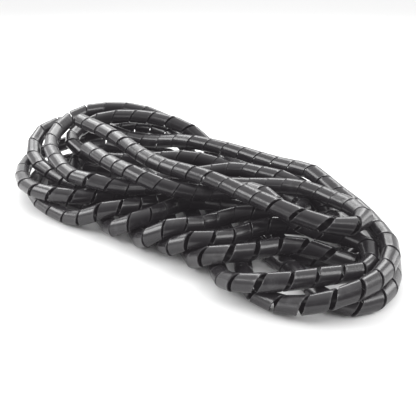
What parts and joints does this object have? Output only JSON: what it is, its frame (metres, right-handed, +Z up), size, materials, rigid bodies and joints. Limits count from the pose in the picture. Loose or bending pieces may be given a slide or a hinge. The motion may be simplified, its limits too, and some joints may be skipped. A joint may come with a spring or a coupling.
{
  "type": "spiral cable wrap",
  "caption": "Slit plastic spiral wrap for bundling cables, lying as a loose folded hank with both cut ends showing.",
  "frame": {"origin": "on the surface that the hank lies on, under the middle of its footprint", "axes": "+X along the length of the hank, +Y towards its back, +Z up"},
  "size_m": [0.2916, 0.1657, 0.0444],
  "materials": {
    "black_plastic": "smooth, softly glossy black polyethylene"
  },
  "bodies": {
    "root": {"spiral_wrap": "black_plastic"}
  },
  "joints": []
}
